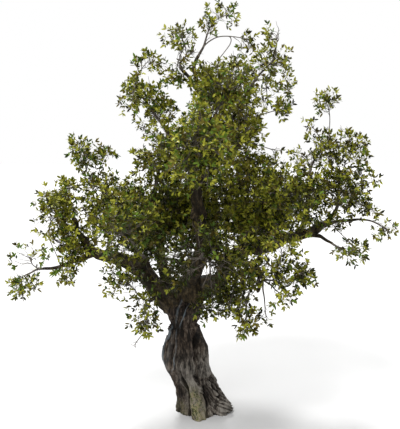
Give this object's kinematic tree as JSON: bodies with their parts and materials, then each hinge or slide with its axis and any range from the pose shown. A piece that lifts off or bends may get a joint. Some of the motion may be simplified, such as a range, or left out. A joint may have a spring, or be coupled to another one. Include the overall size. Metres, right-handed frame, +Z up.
{
  "type": "olive tree",
  "caption": "Old gnarled olive tree with a leaning, waisted trunk, root flare and twisting boughs that carry a loose, open evergreen crown in separate masses of foliage.",
  "frame": {"origin": "middle of the flat cut under the trunk, at ground level, near the foot's centre", "axes": "+Z up, -Y towards the viewer of the picture, +X to the right of the picture"},
  "size_m": [6.0296, 4.2954, 6.4155],
  "materials": {
    "bark": "rough grey-brown furrowed bark, moss on the front root",
    "foliage": "small leathery olive-green leaves, satin on top, duller beneath"
  },
  "bodies": {
    "root": {"trunk": "bark", "back_bough": "bark", "back_crown_bough": "bark", "back_left_bough": "bark", "back_right_bough": "bark", "back_top_bough": "bark", "crook_bough": "bark", "crown_bough": "bark", "front_bough": "bark", "front_left_bough": "bark", "front_top_bough": "bark", "hook_stub": "bark", "leader": "bark", "leader_top": "bark", "left_arm": "bark", "left_bough": "bark", "left_high_bough": "bark", "left_inner_bough": "bark", "left_riser": "bark", "lower_left_bough": "bark", "lower_right_bough": "bark", "right_arm": "bark", "right_bough": "bark", "right_drop": "bark", "right_inner_bough": "bark", "right_limb": "bark", "right_riser": "bark", "right_spire": "bark", "top_bough": "bark", "top_left_bough": "bark", "top_right_bough": "bark", "upper_left_bough": "bark", "upper_right_bough": "bark", "foliage_back": "foliage", "foliage_back_crown": "foliage", "foliage_back_high": "foliage", "foliage_back_left": "foliage", "foliage_back_right": "foliage", "foliage_crown": "foliage", "foliage_front": "foliage", "foliage_front_high": "foliage", "foliage_front_left": "foliage", "foliage_left": "foliage", "foliage_left_high": "foliage", "foliage_left_inner": "foliage", "foliage_left_tip": "foliage", "foliage_lower_left": "foliage", "foliage_lower_right": "foliage", "foliage_mid_left": "foliage", "foliage_right": "foliage", "foliage_right_high": "foliage", "foliage_right_inner": "foliage", "foliage_right_low": "foliage", "foliage_right_tip": "foliage", "foliage_top": "foliage", "foliage_top_left": "foliage", "foliage_top_right": "foliage", "foliage_upper_left": "foliage", "foliage_upper_right": "foliage"}
  },
  "joints": []
}
